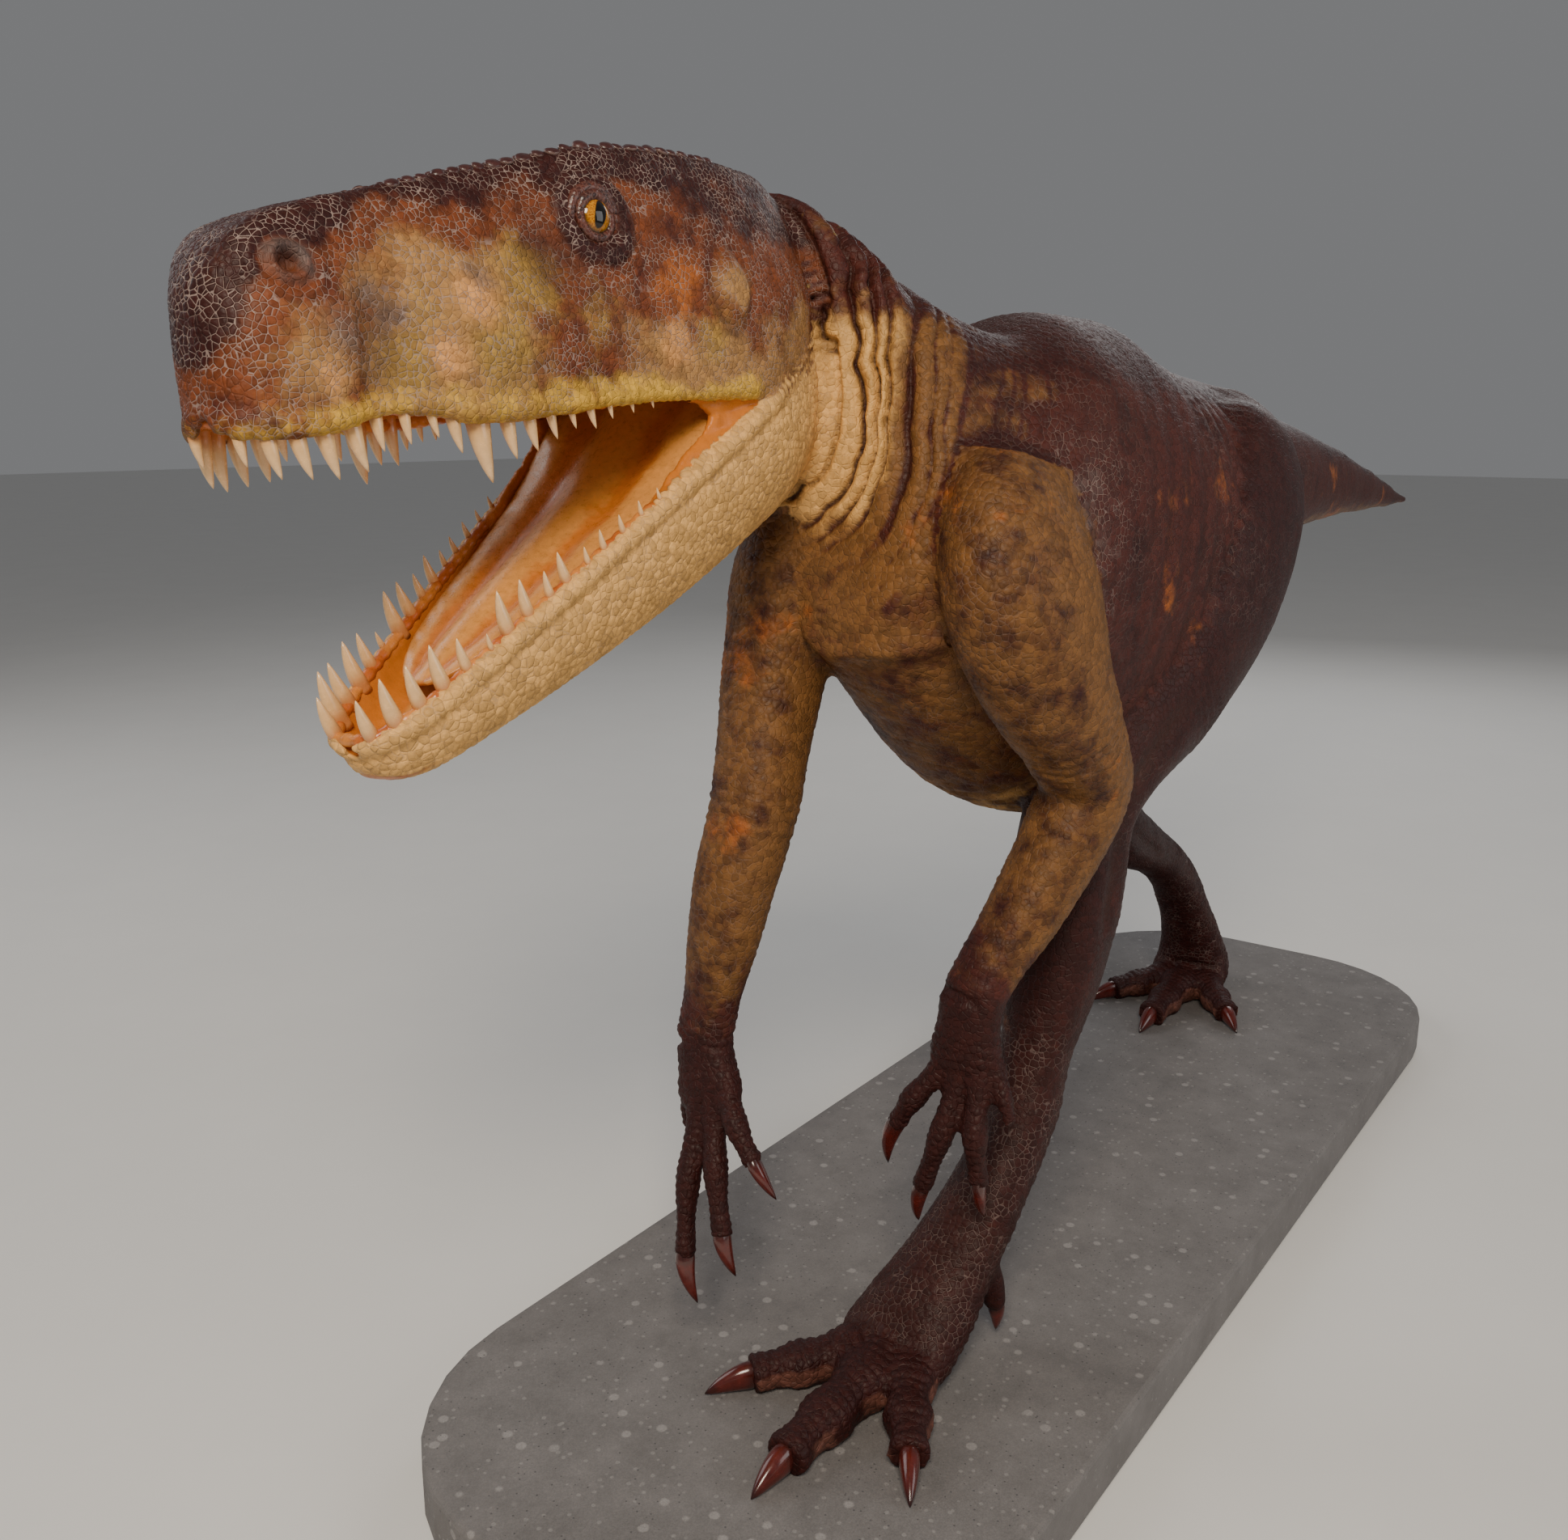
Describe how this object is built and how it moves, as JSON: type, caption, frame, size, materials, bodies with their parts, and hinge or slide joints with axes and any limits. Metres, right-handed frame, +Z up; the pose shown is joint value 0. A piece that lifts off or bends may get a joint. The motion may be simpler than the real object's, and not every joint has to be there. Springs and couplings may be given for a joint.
{
  "type": "life-size dinosaur model",
  "caption": "Life-size painted museum model of an early two-legged meat-eating dinosaur, striding with its jaws wide open, on a cast slab with rounded corners.",
  "frame": {"origin": "on the slab's underside, below the middle of the body", "axes": "+Z up, -X the way the animal faces, -Y its left side"},
  "size_m": [3.5868, 0.7, 1.4116],
  "materials": {
    "skin": "painted scaly skin, satin",
    "throat": "painted pale scaly skin, satin",
    "mouth": "painted gum and tongue, wet gloss",
    "eye": "amber eye with a slit pupil, polished",
    "horn": "dark red to black claws, gloss",
    "teeth": "ivory teeth, gloss",
    "slab": "pale grey cast concrete with small stones, rough"
  },
  "bodies": {
    "root": {"stand_slab": "slab", "head": "skin", "neck": "skin", "torso": "skin", "pelvis": "skin", "tail_base": "skin", "tail_middle": "skin", "tail_tip": "skin", "thigh_left": "skin", "shank_left": "skin", "foot_left": "skin", "upper_arm_left": "skin", "forearm_left": "skin", "hand_left": "skin", "thigh_right": "skin", "shank_right": "skin", "foot_right": "skin", "upper_arm_right": "skin", "forearm_right": "skin", "hand_right": "skin", "lower_jaw": "throat", "tongue": "mouth", "eye_left": "eye", "eye_right": "eye", "claw_foot_left_inner": "horn", "claw_foot_left_middle": "horn", "claw_foot_left_outer": "horn", "claw_foot_left_spur": "horn", "claw_left_thumb": "horn", "claw_left_second": "horn", "claw_left_third": "horn", "claw_foot_right_inner": "horn", "claw_foot_right_middle": "horn", "claw_foot_right_outer": "horn", "claw_foot_right_spur": "horn", "claw_right_thumb": "horn", "claw_right_second": "horn", "claw_right_third": "horn"}
  },
  "joints": []
}
